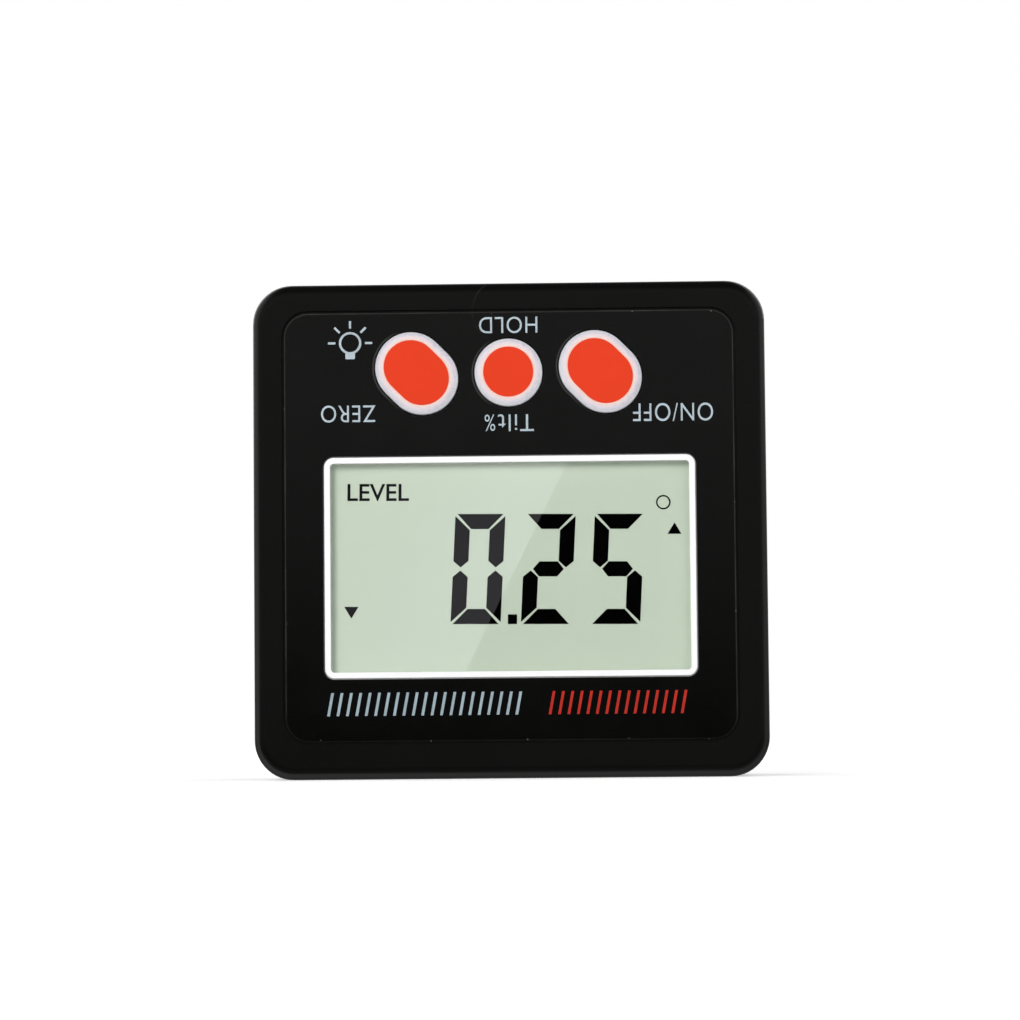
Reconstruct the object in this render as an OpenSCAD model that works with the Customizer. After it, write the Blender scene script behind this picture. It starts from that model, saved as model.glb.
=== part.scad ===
// Digital angle gauge: a palm-sized tilt meter in a moulded box, with a display window,
// three push keys, magnets in its base and a hinged battery door at the back.
//
// Every piece is drawn face up: X runs across the face, Y runs up the face from the
// resting edge, and Z comes out of the face, with Z = 0 halfway through the body.
// upright() then stands the piece on its resting edge, with its face towards -Y.

/* [Body] */
// Width across the face
body_w = 55.9; // [50:0.1:66]
// Height from the resting face to the magnetic base
body_h = 54; // [48:0.1:64]
// Depth from the front rim to the rear rim
body_d = 28; // [25.5:0.5:36]
// Radius of the four outer corners
corner_r = 4.3; // [3.2:0.1:6]
// Rounding of the front edge
edge_r = 1.3; // [0.4:0.1:1.6]
// Rounding of the rear edge
rear_edge_r = 0.5; // [0.2:0.1:0.9]
// Thickness of the side walls
wall = 2; // [1.6:0.1:2.2]
// Thickness of the front wall at its rim
front_wall = 2; // [1.7:0.1:2.6]

/* [Front panel] */
// Rim left beside the panel recess
recess_side = 3.2; // [2.8:0.05:4.5]
// Rim left above the panel recess
recess_top = 2.95; // [2.6:0.05:4]
// Rim left below the panel recess
recess_bottom = 3.8; // [3:0.1:6]
// Corner radius of the panel recess
recess_r = 2.9; // [1.6:0.1:4]
// Depth of the panel recess
recess_depth = 0.4; // [0.3:0.05:0.6]
// Thickness of the printed overlay
overlay_t = 0.25; // [0.15:0.05:0.4]
// Gap round the printed overlay
overlay_gap = 0.25; // [0.05:0.05:0.3]

/* [Display] */
// Width of the display that shows
window_w = 39.1; // [34:0.1:41]
// Distance from the resting face to the white border's lower edge
display_foot = 11; // [9.5:0.05:12]
// Distance from the white border's upper edge to the middle of the keys
display_to_keys = 9.15; // [8.5:0.05:11]
// Width of the white border round the display
border = 0.6; // [0.5:0.05:1.2]
// Outer corner radius of the white border
border_r = 1; // [0.5:0.1:2]
// How far the white border stands above the overlay
border_proud = 0.08; // [0:0.02:0.3]
// Thickness of the border's lip in front of the lens
lip_t = 0.6; // [0.4:0.05:0.8]
// Thickness of the clear lens
lens_t = 1; // [0.8:0.1:1.4]
// How far the lens reaches under the lip
lens_lap = 0.3; // [0.2:0.05:0.4]
// Air gap between the lens and the display glass
lens_gap = 0.2; // [0.1:0.05:0.4]
// Width of display glass hidden beyond the window on each side
lcd_margin = 1.6; // [1:0.1:2]
// Thickness of each of the two display glasses
lcd_glass_t = 1.05; // [0.7:0.05:1.1]
// Contact ledge along the lower edge of the display glass
lcd_ledge = 2.2; // [1.5:0.1:3]
// Thickness of the light guide
guide_t = 2; // [1.5:0.1:2.5]
// Wall of the display holder
holder_wall = 0.9; // [0.7:0.1:1]
// Thickness of the holder's shoulder in front of the display glass
shoulder_t = 0.5; // [0.4:0.05:0.7]

/* [Keys] */
// Spacing of the three keys
key_pitch = 10; // [9.9:0.1:11.5]
// Distance from the magnetic base down to the row of keys
keys_drop = 9.9; // [9.4:0.1:10.2]
// End radius of the two oblong keys
key_r = 3.9; // [3:0.1:4]
// Distance between the end centres of an oblong key
key_stretch = 1.75; // [0.5:0.05:1.9]
// Lean of the oblong keys across the face, in degrees
key_lean = -45; // [-90:5:90]
// Radius of the round middle key
round_key_r = 3.7; // [3:0.1:3.8]
// Width of the rounded white rim of a key
key_rim = 0.95; // [0.6:0.05:1.4]
// How far the keys stand above the overlay
key_proud = 1; // [0.6:0.1:2]
// Thickness of the coloured key caps
cap_t = 0.5; // [0.3:0.05:0.9]
// Gap between a key and its hole
key_gap = 0.25; // [0.15:0.05:0.3]
// How far a key's flange reaches past the key
key_flange = 0.5; // [0.4:0.05:0.6]
// Thickness of a key's flange
key_flange_t = 0.8; // [0.5:0.05:1]
// Travel of a key
key_travel = 0.5; // [0.2:0.05:0.6]
// Side of a switch
switch_side = 5.2; // [4:0.1:6]
// Height of a switch body
switch_h = 1.5; // [1.3:0.1:1.8]
// Radius of a switch plunger
plunger_r = 1; // [0.6:0.05:1.3]

/* [Circuit board] */
// Thickness of the circuit board
board_t = 1.6; // [0.8:0.1:2]
// Gap between the circuit board and the body's walls
board_gap = 0.6; // [0.3:0.1:1]
// How far the upper board screws lie inside the ends of the display holder
upper_screw_inset = 1.6; // [0.8:0.1:3]
// Distance of the lower board screws from the middle
lower_screw_x = 13; // [8:0.5:16]
// Radius of the board's screw bosses
boss_r = 1.9; // [1.5:0.1:2]
// Radius of a board screw
board_screw_r = 0.75; // [0.5:0.05:1]
// How far a board screw bites into its boss
board_screw_bite = 3; // [2:0.1:3.5]
// Side of the controller chip
controller_side = 7; // [5:0.5:10]
// Thickness of the controller chip
controller_t = 1.4; // [0.8:0.1:2]
// Side of the tilt sensor
sensor_side = 4; // [3:0.5:6]
// Thickness of the tilt sensor
sensor_t = 1.1; // [0.7:0.1:1.6]
// Gap between the controller chip and the parts beside it
chip_gap = 5.5; // [2:0.5:7]
// Length of a small chip part
chip_part_l = 1.6; // [1:0.1:2]
// Spacing of the small chip parts
chip_part_pitch = 3.2; // [2.4:0.1:4]

/* [Battery bay] */
// Height of the bay's centre above the resting face
bay_y = 24.5; // [22:0.5:30]
// Radius of a battery cell
cell_r = 5.15; // [4.8:0.05:5.25]
// Gap between the bay and the body's side walls
bay_side_gap = 0.75; // [0.3:0.05:1.5]
// Room that a contact spring takes
spring_room = 2.7; // [2:0.1:3]
// Wall of the bay
bay_wall = 1; // [0.8:0.1:1.2]
// Thickness of the contact plates
plate_t = 0.4; // [0.2:0.05:0.6]

/* [Rear cover] */
// Thickness of the rear cover
cover_t = 2.2; // [2:0.1:3]
// How far the rear cover lies inside the rear rim
cover_inset = 0.2; // [0:0.05:0.5]
// Gap between the rear cover and the body
cover_gap = 0.1; // [0.05:0.05:0.3]
// Radius of the corner posts that carry the rear cover
post_r = 3; // [2.6:0.1:3.4]
// Radius of a cover screw
cover_screw_r = 0.85; // [0.6:0.05:1.1]
// Thickness of the battery door
door_t = 1.4; // [1.2:0.1:1.6]
// Gap round the battery door
door_gap = 0.3; // [0.2:0.05:0.4]
// Ledge that the battery door closes on
door_ledge = 0.9; // [0.6:0.1:1.4]
// Radius of the door's hinge pins
hinge_pin_r = 0.4; // [0.3:0.05:0.45]

/* [Base magnets] */
// Radius of a magnet
magnet_r = 4; // [3:0.1:5]
// Thickness of a magnet
magnet_t = 3; // [1.5:0.1:3.5]
// Spacing of the magnets
magnet_pitch = 14; // [12:0.5:14.5]
// How far the magnets lie below the base
magnet_sink = 0.15; // [0.05:0.05:0.4]

/* [Hidden] */

$fn = 48;

// Cuts run this far past the faces they open
cut = 1;
// Clearance of pieces that are dropped or pressed into a seat
fit = 0.05;
// Clearance of pieces that sit loosely in a pocket
loose = 0.15;

// Levels along Z, from the front rim inwards
front_z = body_d / 2;
recess_z = front_z - recess_depth;
overlay_z = recess_z + overlay_t;
inner_z = front_z - front_wall;
border_z = overlay_z + border_proud;
lens_z = border_z - lip_t;
lcd_z = lens_z - lens_t - lens_gap;
guide_z = lcd_z - 2 * lcd_glass_t;
board_z = guide_z - guide_t;
board_back_z = board_z - board_t;
shoulder_z = lcd_z + shoulder_t;

// Levels along Z, from the rear rim inwards
back_z = -body_d / 2;
cover_out_z = back_z + cover_inset;
cover_in_z = cover_out_z + cover_t;
door_in_z = cover_out_z + door_t;
door_seat_gap = 0.1;
cell_gap = 0.3;
cell_z = door_in_z + cell_gap + cell_r;
bay_floor_z = cell_z + cell_r + loose;

// Cavity of the body
cavity_w = body_w - 2 * wall;
cavity_h = body_h - 2 * wall;
cavity_r = corner_r - wall;
middle_y = body_h / 2;

// Front panel
recess_w = body_w - 2 * recess_side;
recess_h = body_h - recess_top - recess_bottom;
recess_y = recess_bottom + recess_h / 2;

// Display
keys_y = body_h - keys_drop;
border_w = window_w + 2 * border;
border_h = keys_y - display_to_keys - display_foot;
window_h = border_h - 2 * border;
display_y = display_foot + border_h / 2;
window_r = 0.4;
lens_w = window_w + 2 * lens_lap;
lens_h = window_h + 2 * lens_lap;
lcd_w = window_w + 2 * lcd_margin;
lcd_h = window_h + 2 * lcd_margin;
holder_w = lcd_w + 2 * (fit + holder_wall);
holder_h = lcd_h + 2 * (fit + holder_wall);
upper_screw_x = holder_w / 2 - upper_screw_inset;
holder_r = 0.8;
zebra_t = lcd_ledge - 0.4;
led_size = [1.2, 2.8, 1.4];

// Keys, from left to right
plunger_proud = 0.6;
switch_z = board_z + switch_h;
plunger_z = switch_z + plunger_proud;
key_z = overlay_z + key_proud;
stem_r = 1.3;

// Screws and posts
post_seat = 0.2;
post_x = cavity_w / 2 - post_r + post_seat;
post_y = wall + post_r - post_seat;
cover_screw_length = 8;
board_screw_head_r = 1.4;
board_screw_head_t = 1.1;
holder_foot_y = display_y - holder_h / 2;
holder_top_y = display_y + holder_h / 2;
screw_places = [
    [-lower_screw_x, (wall + holder_foot_y) / 2], [lower_screw_x, (wall + holder_foot_y) / 2],
    [-upper_screw_x, holder_top_y + boss_r + fit], [upper_screw_x, holder_top_y + boss_r + fit],
];
post_places = [for (side = [-1, 1], y = [post_y, body_h - post_y]) [side * post_x, y]];

// Battery bay, its door and the door's hinge
bay_w = cavity_w - 2 * (bay_side_gap + bay_wall);
cell_length = bay_w - spring_room - 2 * plate_t;
bay_h = 4 * cell_r + 3 * cell_gap;
upper_cell_y = bay_y + cell_r + cell_gap / 2;
lower_cell_y = bay_y - cell_r - cell_gap / 2;
plate_side = 8;
tail_w = 1.6;
end_lap = 0.7;
opening_w = bay_w - 2 * end_lap;
door_w = opening_w + 2 * end_lap - 2 * door_gap;
door_h = bay_h + 2 * door_ledge - 2 * door_gap;
hinge_y = bay_y + door_h / 2 - door_t / 2;
hinge_z = cover_out_z + door_t / 2;
hinge_pin_reach = 0.6;

// Outlines drawn on the face

module rounded_rect(w, h, r) {
    square([w - 2 * r, h], center = true);
    square([w, h - 2 * r], center = true);
    for (x = [-1, 1], y = [-1, 1])
        translate([x * (w / 2 - r), y * (h / 2 - r)]) circle(r);
}

module stadium(r, stretch) {
    if (stretch > 0) square([stretch, 2 * r], center = true);
    for (end = [-1, 1]) translate([end * stretch / 2, 0]) circle(r);
}

// Extrudes an outline between two levels
module between(z0, z1) {
    translate([0, 0, min(z0, z1)]) linear_extrude(abs(z1 - z0)) children();
}

// Extrudes a section drawn in Y and Z across the width
module across(width) {
    rotate([90, 0, 90]) translate([0, 0, -width / 2]) linear_extrude(width) children();
}

// Extrudes a section drawn in X and Z up the face
module up_the_face(height) {
    rotate([90, 0, 0]) translate([0, 0, -height / 2]) linear_extrude(height) children();
}

// Turns a half section into a solid with a stadium outline
module stadium_turned(stretch) {
    if (stretch > 0) {
        for (end = [-1, 1])
            translate([end * stretch / 2, 0, 0])
                rotate([0, 0, end * 90 - 180]) rotate_extrude(angle = 180) children();
        rotate([90, 0, 90]) translate([0, 0, -stretch / 2]) linear_extrude(stretch) {
            children();
            mirror([1, 0]) children();
        }
    } else {
        rotate_extrude() children();
    }
}

// Stands a piece on its resting edge, with its face towards -Y
module upright() {
    rotate([90, 0, 0]) children();
}

// Body

// Half section of the body's outer wall, rounded at the front and rear edges
module body_section(reach) {
    polygon([
        [0, back_z], [reach - rear_edge_r, back_z], [reach, back_z + rear_edge_r],
        [reach, front_z - edge_r], [reach - edge_r, front_z], [0, front_z],
    ]);
    translate([reach - edge_r, front_z - edge_r]) circle(edge_r);
    translate([reach - rear_edge_r, back_z + rear_edge_r]) circle(rear_edge_r);
}

module both_sides() {
    children();
    mirror([1, 0]) children();
}

module body_block() {
    translate([0, middle_y, 0]) {
        up_the_face(body_h - 2 * corner_r) both_sides() body_section(body_w / 2);
        across(body_w - 2 * corner_r) both_sides() body_section(body_h / 2);
        for (turn = [0:3]) {
            side_x = (turn == 0 || turn == 3) ? 1 : -1;
            side_y = turn < 2 ? 1 : -1;
            translate([side_x * (body_w / 2 - corner_r), side_y * (body_h / 2 - corner_r), 0])
                rotate([0, 0, 90 * turn]) rotate_extrude(angle = 90) body_section(corner_r);
        }
    }
}

module key_places() {
    translate([-key_pitch, keys_y, 0]) rotate(key_lean) stadium_key_slot(key_r, key_stretch);
    translate([0, keys_y, 0]) stadium_key_slot(round_key_r, 0);
    translate([key_pitch, keys_y, 0]) rotate(key_lean) stadium_key_slot(key_r, key_stretch);
}

module stadium_key_slot(r, stretch) {
    stadium(r + key_gap, stretch);
}

module magnet_places() {
    for (place = [-1:1])
        translate([place * magnet_pitch, body_h, 0]) rotate([90, 0, 0]) children();
}

module housing() {
    pocket_depth = magnet_t + magnet_sink;
    pocket_floor = 1;
    color([0.04, 0.04, 0.04])
    difference() {
        union() {
            difference() {
                body_block();
                translate([0, middle_y, 0])
                    between(back_z - cut, inner_z) rounded_rect(cavity_w, cavity_h, cavity_r);
            }
            for (p = post_places)
                translate(p) between(cover_in_z, inner_z) circle(post_r);
            for (p = screw_places)
                translate(p) between(board_z, inner_z) circle(boss_r);
            magnet_places()
                translate([0, 0, wall / 2])
                    cylinder(r = magnet_r + fit + pocket_floor, h = pocket_depth + pocket_floor - wall / 2);
        }
        translate([0, recess_y, 0])
            between(recess_z, front_z + cut) rounded_rect(recess_w, recess_h, recess_r);
        translate([0, display_y, 0]) {
            between(inner_z - cut, front_z)
                rounded_rect(border_w + 2 * loose, border_h + 2 * loose, border_r + loose);
            between(inner_z - cut, shoulder_z)
                rounded_rect(holder_w + 2 * loose, holder_h + 2 * loose, holder_r + loose);
        }
        between(inner_z - cut, front_z) key_places();
        for (p = post_places)
            translate(p) between(cover_in_z - cut, cover_out_z + cover_screw_length + cut)
                circle(cover_screw_r + fit);
        for (p = screw_places)
            translate(p) between(board_z - cut, inner_z) circle(board_screw_r + fit);
        magnet_places()
            translate([0, 0, -cut]) cylinder(r = magnet_r + fit, h = pocket_depth + cut);
    }
}

module front_overlay() {
    color([0.02, 0.02, 0.02])
    difference() {
        translate([0, recess_y, 0])
            between(recess_z, overlay_z)
                rounded_rect(recess_w - 2 * overlay_gap, recess_h - 2 * overlay_gap, recess_r - overlay_gap);
        translate([0, display_y, 0])
            between(recess_z - cut, overlay_z + cut)
                rounded_rect(border_w + 2 * loose, border_h + 2 * loose, border_r + loose);
        between(recess_z - cut, overlay_z + cut) key_places();
    }
}

// Display

module display_bezel() {
    color("white")
    translate([0, display_y, 0])
    difference() {
        union() {
            between(shoulder_z - fit, border_z) rounded_rect(border_w, border_h, border_r);
            between(board_z, shoulder_z) rounded_rect(holder_w, holder_h, holder_r);
        }
        between(lens_z - cut, border_z + cut) rounded_rect(window_w, window_h, window_r);
        between(lcd_z - cut, lens_z)
            rounded_rect(lens_w + 2 * fit, lens_h + 2 * fit, window_r);
        between(board_z - cut, lcd_z)
            square([lcd_w + 2 * fit, lcd_h + 2 * fit], center = true);
    }
}

module display_lens() {
    color([0.9, 0.95, 0.95, 0.3])
    translate([0, display_y, 0])
        between(lens_z - lens_t, lens_z) rounded_rect(lens_w, lens_h, window_r);
}

module lcd_panel() {
    color([0.76, 0.82, 0.73])
    translate([0, display_y, 0]) {
        between(lcd_z - lcd_glass_t, lcd_z) square([lcd_w, lcd_h], center = true);
        between(guide_z, lcd_z - lcd_glass_t)
            translate([0, lcd_ledge / 2]) square([lcd_w, lcd_h - lcd_ledge], center = true);
    }
}

module light_guide() {
    guide_w = lcd_w - led_size[0] - 2 * loose;
    color([0.92, 0.94, 0.9])
    translate([(lcd_w - guide_w) / 2, display_y + lcd_ledge / 2, 0])
        between(board_z, guide_z) square([guide_w, lcd_h - lcd_ledge], center = true);
}

module backlight_led() {
    color([1, 0.95, 0.7])
    translate([-lcd_w / 2 + led_size[0] / 2, display_y, board_z + led_size[2] / 2])
        cube(led_size, center = true);
}

module zebra_strip() {
    color([0.85, 0.5, 0.55])
    translate([0, display_y - lcd_h / 2 + zebra_t / 2, 0])
        between(board_z, lcd_z - lcd_glass_t) square([lcd_w - 2 * lcd_margin, zebra_t], center = true);
}

// Circuit board

module circuit_board() {
    color([0.05, 0.3, 0.15])
    translate([0, 0, board_back_z]) linear_extrude(board_t)
    difference() {
        translate([0, middle_y])
            square([cavity_w - 2 * board_gap, cavity_h - 2 * board_gap], center = true);
        for (p = post_places) translate(p) circle(post_r + board_gap);
        for (p = screw_places) translate(p) circle(board_screw_r + loose);
    }
}

// A flat part soldered to the back of the board
module on_board_back(x, y, size) {
    translate([x, y, board_back_z - size[2] / 2]) cube(size, center = true);
}

module controller_chip() {
    color([0.08, 0.08, 0.09])
        on_board_back(0, bay_y, [controller_side, controller_side, controller_t]);
}

module tilt_sensor() {
    sensor_x = (controller_side + sensor_side) / 2 + chip_gap;
    color([0.12, 0.12, 0.13])
        on_board_back(sensor_x, bay_y, [sensor_side, sensor_side, sensor_t]);
}

module chip_parts() {
    rows = 2;
    columns = 5;
    first_y = bay_y - controller_side / 2 - chip_gap;
    size = [chip_part_l, chip_part_l / 2, chip_part_l / 2];
    color([0.75, 0.68, 0.5])
    for (row = [0:rows - 1], column = [0:columns - 1])
        on_board_back((column - (columns - 1) / 2) * chip_part_pitch, first_y - row * chip_part_pitch, size);
}

module board_screw() {
    translate([0, 0, board_back_z - board_screw_head_t])
    difference() {
        union() {
            cylinder(r = board_screw_head_r, h = board_screw_head_t);
            cylinder(r = board_screw_r, h = board_screw_head_t + board_t + board_screw_bite);
        }
        cross_recess(board_screw_head_r);
    }
}

module board_screws() {
    color("silver") for (p = screw_places) translate(p) board_screw();
}

// Driver recess in a screw head that faces -Z
module cross_recess(head_r) {
    slot_w = head_r * 0.3;
    slot_l = head_r * 1.2;
    depth = head_r * 0.35;
    for (turn = [0, 90])
        rotate([0, 0, turn]) translate([-slot_l / 2, -slot_w / 2, -depth]) cube([slot_l, slot_w, 2 * depth]);
}

// Keys

module key_place(place) {
    translate([place * key_pitch, keys_y, 0]) rotate(place == 0 ? 0 : key_lean) children();
}

function key_radius(place) = place == 0 ? round_key_r : key_r;
function key_length(place) = place == 0 ? 0 : key_stretch;

// Half section of a key: rounded rim, straight side and flange, with a seat for the cap
module key_section(r) {
    cap_r = r - key_rim;
    difference() {
        union() {
            polygon([
                [0, inner_z - key_flange_t], [r + key_flange, inner_z - key_flange_t],
                [r + key_flange, inner_z], [r, inner_z],
                [r, key_z - key_rim], [cap_r, key_z], [0, key_z],
            ]);
            translate([cap_r, key_z - key_rim]) intersection() {
                circle(key_rim);
                square(key_rim);
            }
        }
        translate([-cut, key_z - cap_t]) square([cap_r + cut, cap_t + cut]);
    }
}

module key(place) {
    color([0.88, 0.87, 0.91])
    key_place(place) {
        stadium_turned(key_length(place)) key_section(key_radius(place));
        translate([0, 0, plunger_z]) cylinder(r = stem_r, h = inner_z - key_flange_t - plunger_z + fit);
    }
}

module cap(place) {
    cap_r = key_radius(place) - key_rim - fit;
    color([0.92, 0.2, 0.1])
    key_place(place) between(key_z - cap_t, key_z) stadium(cap_r, key_length(place));
}

module plunger(place) {
    color([0.15, 0.15, 0.16])
    key_place(place)
        between(switch_z - plunger_proud, plunger_z) circle(plunger_r);
}

// The bore leaves room behind the plunger for the whole travel
module switch(place) {
    bore_floor = 0.2;
    color([0.7, 0.7, 0.72])
    translate([place * key_pitch, keys_y, 0])
    difference() {
        between(board_z, switch_z) square(switch_side, center = true);
        between(board_z + bore_floor, switch_z + cut) circle(plunger_r + fit);
    }
}

// Rear cover

// Section of the battery door: a plate that ends in a full-round hinge edge
module door_section() {
    foot_y = bay_y - door_h / 2;
    grip_depth = 0.35;
    grip_pitch = 1.6;
    difference() {
        union() {
            translate([foot_y, cover_out_z]) square([hinge_y - foot_y, door_t]);
            translate([hinge_y, hinge_z]) circle(door_t / 2);
        }
        for (groove = [0:2])
            translate([foot_y + 2 + groove * grip_pitch, cover_out_z]) circle(grip_depth);
    }
}

module battery_door() {
    nib_r = 0.25;
    nib_w = 6;
    color([0.05, 0.05, 0.05]) {
        across(door_w) door_section();
        translate([0, hinge_y, hinge_z]) rotate([0, 90, 0])
            cylinder(r = hinge_pin_r, h = door_w + 2 * hinge_pin_reach, center = true);
        translate([0, bay_y - door_h / 2, hinge_z]) rotate([0, 90, 0])
            cylinder(r = nib_r, h = nib_w, center = true);
    }
}

module rear_cover() {
    scoop_r = 6;
    scoop_depth = 0.9;
    seat_z = door_in_z + door_seat_gap;
    color([0.05, 0.05, 0.05])
    difference() {
        union() {
            translate([0, middle_y, 0])
                between(cover_out_z, cover_in_z)
                    rounded_rect(cavity_w - 2 * cover_gap, cavity_h - 2 * cover_gap, cavity_r - cover_gap);
            translate([0, bay_y, 0])
                between(cover_out_z + cover_t / 2, bay_floor_z + bay_wall)
                    square([bay_w + 2 * bay_wall, bay_h + 2 * bay_wall], center = true);
        }
        translate([0, bay_y, 0]) {
            between(cover_in_z, bay_floor_z) square([bay_w, bay_h], center = true);
            between(cover_out_z - cut, cover_in_z + cut) square([opening_w, bay_h], center = true);
            between(cover_out_z - cut, seat_z)
                square([door_w + 2 * door_gap, door_h + 2 * door_gap], center = true);
            for (y = [lower_cell_y, upper_cell_y])
                translate([-bay_w / 2 - fit, y - bay_y - tail_w / 2 - fit, bay_floor_z - cut])
                    cube([plate_t + 2 * fit, tail_w + 2 * fit, bay_wall + 2 * cut]);
        }
        translate([0, hinge_y, hinge_z]) rotate([0, 90, 0])
            cylinder(r = hinge_pin_r + fit, h = door_w + 2 * (hinge_pin_reach + fit), center = true);
        translate([0, bay_y - door_h / 2 - door_gap - scoop_r / 3, cover_out_z - cut])
            cylinder(r = scoop_r, h = scoop_depth + cut);
        for (p = post_places) translate([p[0], p[1], cover_out_z]) {
            translate([0, 0, -cut]) cylinder(r = cover_screw_r + loose, h = cover_t + 2 * cut);
            countersink(fit);
        }
    }
}

// Cone of a countersunk head, open towards the rear
module countersink(gap) {
    head_r = 2 * cover_screw_r + gap;
    head_t = head_r - cover_screw_r;
    cylinder(r1 = head_r, r2 = head_r - head_t, h = head_t);
}

module cover_screw() {
    translate([0, 0, cover_out_z])
    difference() {
        union() {
            countersink(0);
            cylinder(r = cover_screw_r, h = cover_screw_length);
        }
        cross_recess(2 * cover_screw_r);
    }
}

module cover_screws() {
    color("silver") for (p = post_places) translate(p) cover_screw();
}

// Battery bay

// A cell that lies across the bay, with its nub at the end that side points to
module cell(y, side) {
    nub_r = 1.9;
    nub_t = 1;
    sleeve_edge = 0.4;
    half = cell_length / 2;
    color([0.55, 0.56, 0.58])
    translate([side * spring_room / 2, y, cell_z]) rotate([0, side * 90, 0])
        rotate_extrude() polygon([
            [0, -half], [cell_r - sleeve_edge, -half], [cell_r, -half + sleeve_edge],
            [cell_r, half - nub_t - sleeve_edge], [cell_r - sleeve_edge, half - nub_t],
            [nub_r, half - nub_t], [nub_r, half], [0, half],
        ]);
}

module upper_cell() { cell(upper_cell_y, 1); }
module lower_cell() { cell(lower_cell_y, -1); }

// A contact plate on an end wall of the bay, from y0 to y1
module contact_plate(side, y0, y1) {
    translate([side * (bay_w - plate_t) / 2, (y0 + y1) / 2, cell_z])
        cube([plate_t, y1 - y0, plate_side], center = true);
}

// A plate whose tail runs forward to the circuit board
module tailed_plate(y) {
    contact_plate(-1, y - plate_side / 2, y + plate_side / 2);
    translate([-bay_w / 2, y - tail_w / 2, cell_z]) cube([plate_t, tail_w, board_back_z - cell_z]);
}

module negative_plate() { color("silver") tailed_plate(upper_cell_y); }
module positive_plate() { color("silver") tailed_plate(lower_cell_y); }
module bridge_plate() {
    color("silver") contact_plate(1, lower_cell_y - plate_side / 2, upper_cell_y + plate_side / 2);
}

// Conical contact spring, wound from a wide turn at its plate to a narrow one at the cell
spring_turns = 3;
spring_steps = 16;
spring_sides = 6;
spring_wire_r = 0.25;
spring_wide_r = 3.4;
spring_narrow_r = 2;
spring_air = 0.05;

function spring_ring(share) =
    let (
        turn = 360 * spring_turns * share,
        coil_r = spring_wide_r + (spring_narrow_r - spring_wide_r) * share,
        run = spring_room - 2 * (spring_wire_r + spring_air),
        rise = spring_wire_r + spring_air + run * share
    )
    [for (k = [0:spring_sides - 1])
        let (a = 360 * k / spring_sides, reach = coil_r + spring_wire_r * cos(a))
        [rise + spring_wire_r * sin(a), reach * cos(turn), reach * sin(turn)]];

module contact_spring() {
    last = spring_turns * spring_steps;
    rings = [for (i = [0:last]) spring_ring(i / last)];
    walls = [for (i = [0:last - 1], k = [0:spring_sides - 1])
        let (a = i * spring_sides, b = a + spring_sides, next = (k + 1) % spring_sides)
        [a + k, a + next, b + next, b + k]];
    start = [for (k = [spring_sides - 1:-1:0]) k];
    end = [for (k = [0:spring_sides - 1]) last * spring_sides + k];
    polyhedron([for (ring = rings) each ring], concat([start], walls, [end]));
}

module negative_spring() {
    color("silver") translate([-bay_w / 2 + plate_t, upper_cell_y, cell_z]) contact_spring();
}

module bridge_spring() {
    color("silver") translate([bay_w / 2 - plate_t, lower_cell_y, cell_z])
        rotate([0, 0, 180]) contact_spring();
}

// Base magnets

module magnet(place) {
    color([0.78, 0.78, 0.8])
    translate([place * magnet_pitch, body_h - magnet_sink, 0]) rotate([90, 0, 0])
        cylinder(r = magnet_r, h = magnet_t);
}

upright() housing();
upright() front_overlay();
upright() display_bezel();
upright() display_lens();
upright() lcd_panel();
upright() light_guide();
upright() backlight_led();
upright() zebra_strip();
upright() circuit_board();
upright() controller_chip();
upright() tilt_sensor();
upright() chip_parts();
upright() board_screws();
upright() key(-1);  // zero_key
upright() cap(-1);  // zero_cap
upright() plunger(-1);  // zero_plunger
upright() switch(-1);  // zero_switch
upright() key(0);  // hold_key
upright() cap(0);  // hold_cap
upright() plunger(0);  // hold_plunger
upright() switch(0);  // hold_switch
upright() key(1);  // power_key
upright() cap(1);  // power_cap
upright() plunger(1);  // power_plunger
upright() switch(1);  // power_switch
upright() rear_cover();
upright() cover_screws();
upright() battery_door();
upright() upper_cell();
upright() lower_cell();
upright() negative_plate();
upright() negative_spring();
upright() positive_plate();
upright() bridge_plate();
upright() bridge_spring();
upright() magnet(-1);  // left_magnet
upright() magnet(0);  // middle_magnet
upright() magnet(1);  // right_magnet
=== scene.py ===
"""Dresses the digital angle gauge: finishes, printed panel, display reading, stage and camera."""

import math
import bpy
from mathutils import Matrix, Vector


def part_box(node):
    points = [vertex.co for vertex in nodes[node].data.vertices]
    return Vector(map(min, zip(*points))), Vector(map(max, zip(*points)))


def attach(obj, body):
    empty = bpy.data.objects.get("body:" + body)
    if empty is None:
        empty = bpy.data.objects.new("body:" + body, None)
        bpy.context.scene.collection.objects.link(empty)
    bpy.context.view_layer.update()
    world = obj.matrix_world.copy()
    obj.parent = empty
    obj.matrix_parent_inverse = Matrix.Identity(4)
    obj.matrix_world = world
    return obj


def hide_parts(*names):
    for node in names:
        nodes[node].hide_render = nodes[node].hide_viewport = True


bl_info = {
    "name": "Digital Angle Gauge",
    "version": (1, 0, 0),
    "blender": (4, 5, 0),
    "location": "View3D > Sidebar > Angle Gauge",
    "description": "Dresses the angle gauge's pieces and sets its stage",
    "category": "Object",
}

import bmesh
import bpy
from bpy.props import FloatProperty, FloatVectorProperty, PointerProperty
from mathutils import Matrix, Vector

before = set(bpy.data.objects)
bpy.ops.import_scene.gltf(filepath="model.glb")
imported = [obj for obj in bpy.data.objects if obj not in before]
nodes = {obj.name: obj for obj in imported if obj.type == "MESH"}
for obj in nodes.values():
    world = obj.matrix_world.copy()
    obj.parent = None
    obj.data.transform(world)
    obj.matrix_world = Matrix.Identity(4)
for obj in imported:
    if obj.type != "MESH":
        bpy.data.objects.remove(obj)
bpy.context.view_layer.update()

MM = 0.001
ROOT = "body"
KEYS = ("zero", "hold", "power")

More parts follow.
